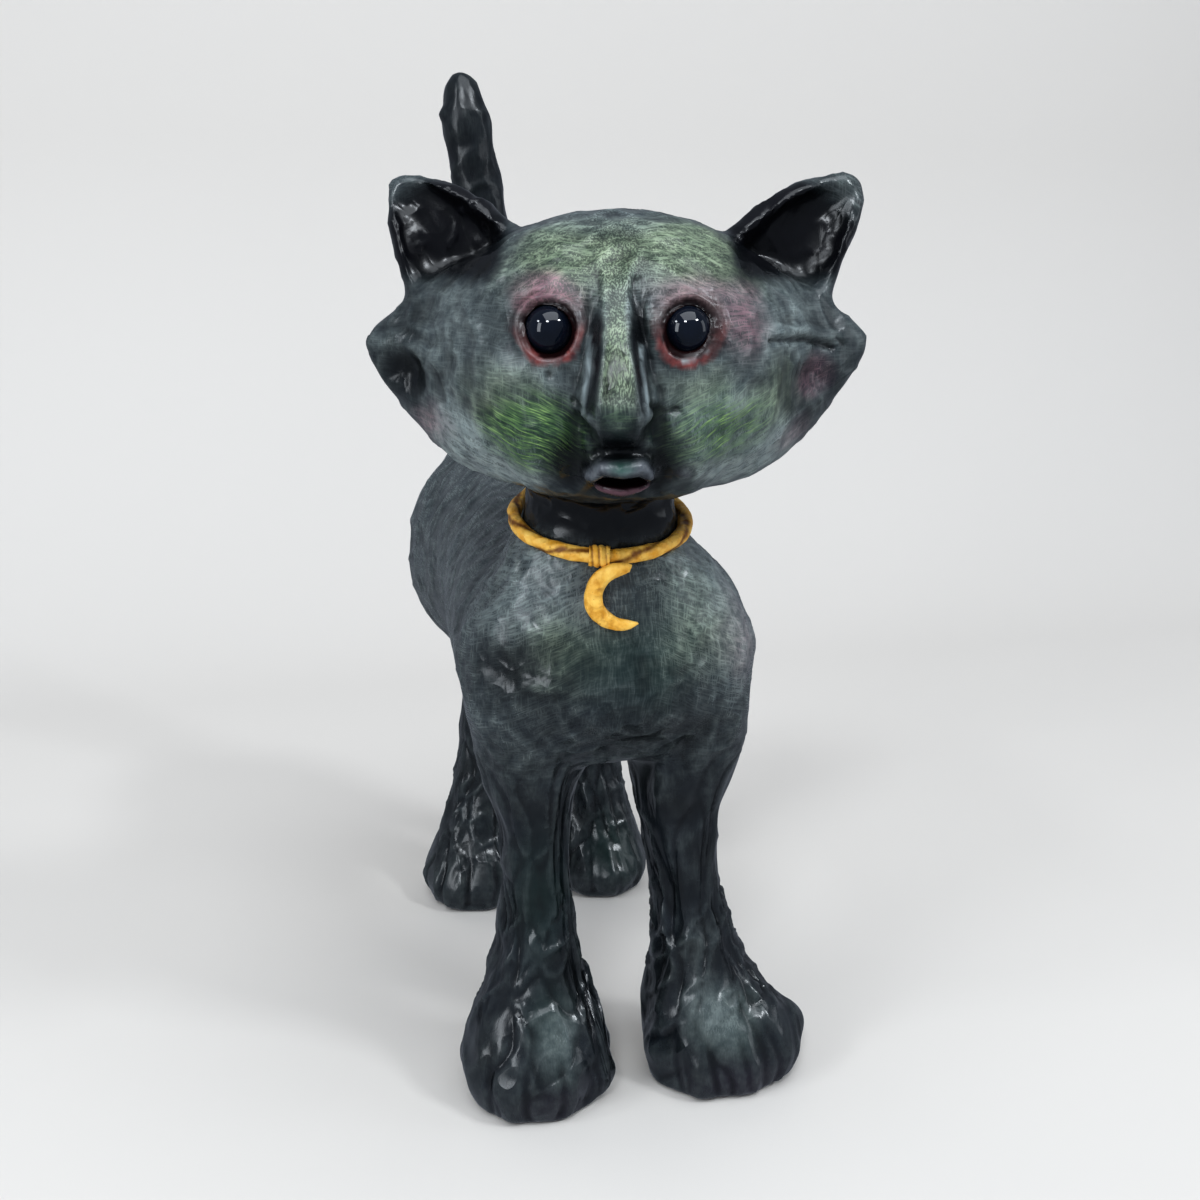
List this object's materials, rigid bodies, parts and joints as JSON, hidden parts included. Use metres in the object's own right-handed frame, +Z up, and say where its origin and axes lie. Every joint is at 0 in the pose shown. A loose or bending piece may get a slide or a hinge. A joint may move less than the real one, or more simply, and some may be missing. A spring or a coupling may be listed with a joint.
{
  "type": "papier-mache cat figure",
  "caption": "Standing papier-mache cat with a wide turned head, upright tail, glass eyes, heavy paws, a twisted paper collar and a crescent moon pendant; a free-standing ornament.",
  "frame": {"origin": "on the floor under the middle of the whole cat's box", "axes": "+Z up; the body lies along Y with the head towards -Y; +X is the cat's left"},
  "size_m": [0.1716, 0.3152, 0.409],
  "materials": {
    "painted_paper": "satin varnish over dark dry-brushed paint",
    "black_glass": "gloss",
    "ochre_paper": "satin"
  },
  "bodies": {
    "root": {"cat_figure": "painted_paper", "right_eye": "black_glass", "left_eye": "black_glass", "collar": "ochre_paper", "pendant_loop": "ochre_paper", "moon_pendant": "ochre_paper"}
  },
  "joints": []
}
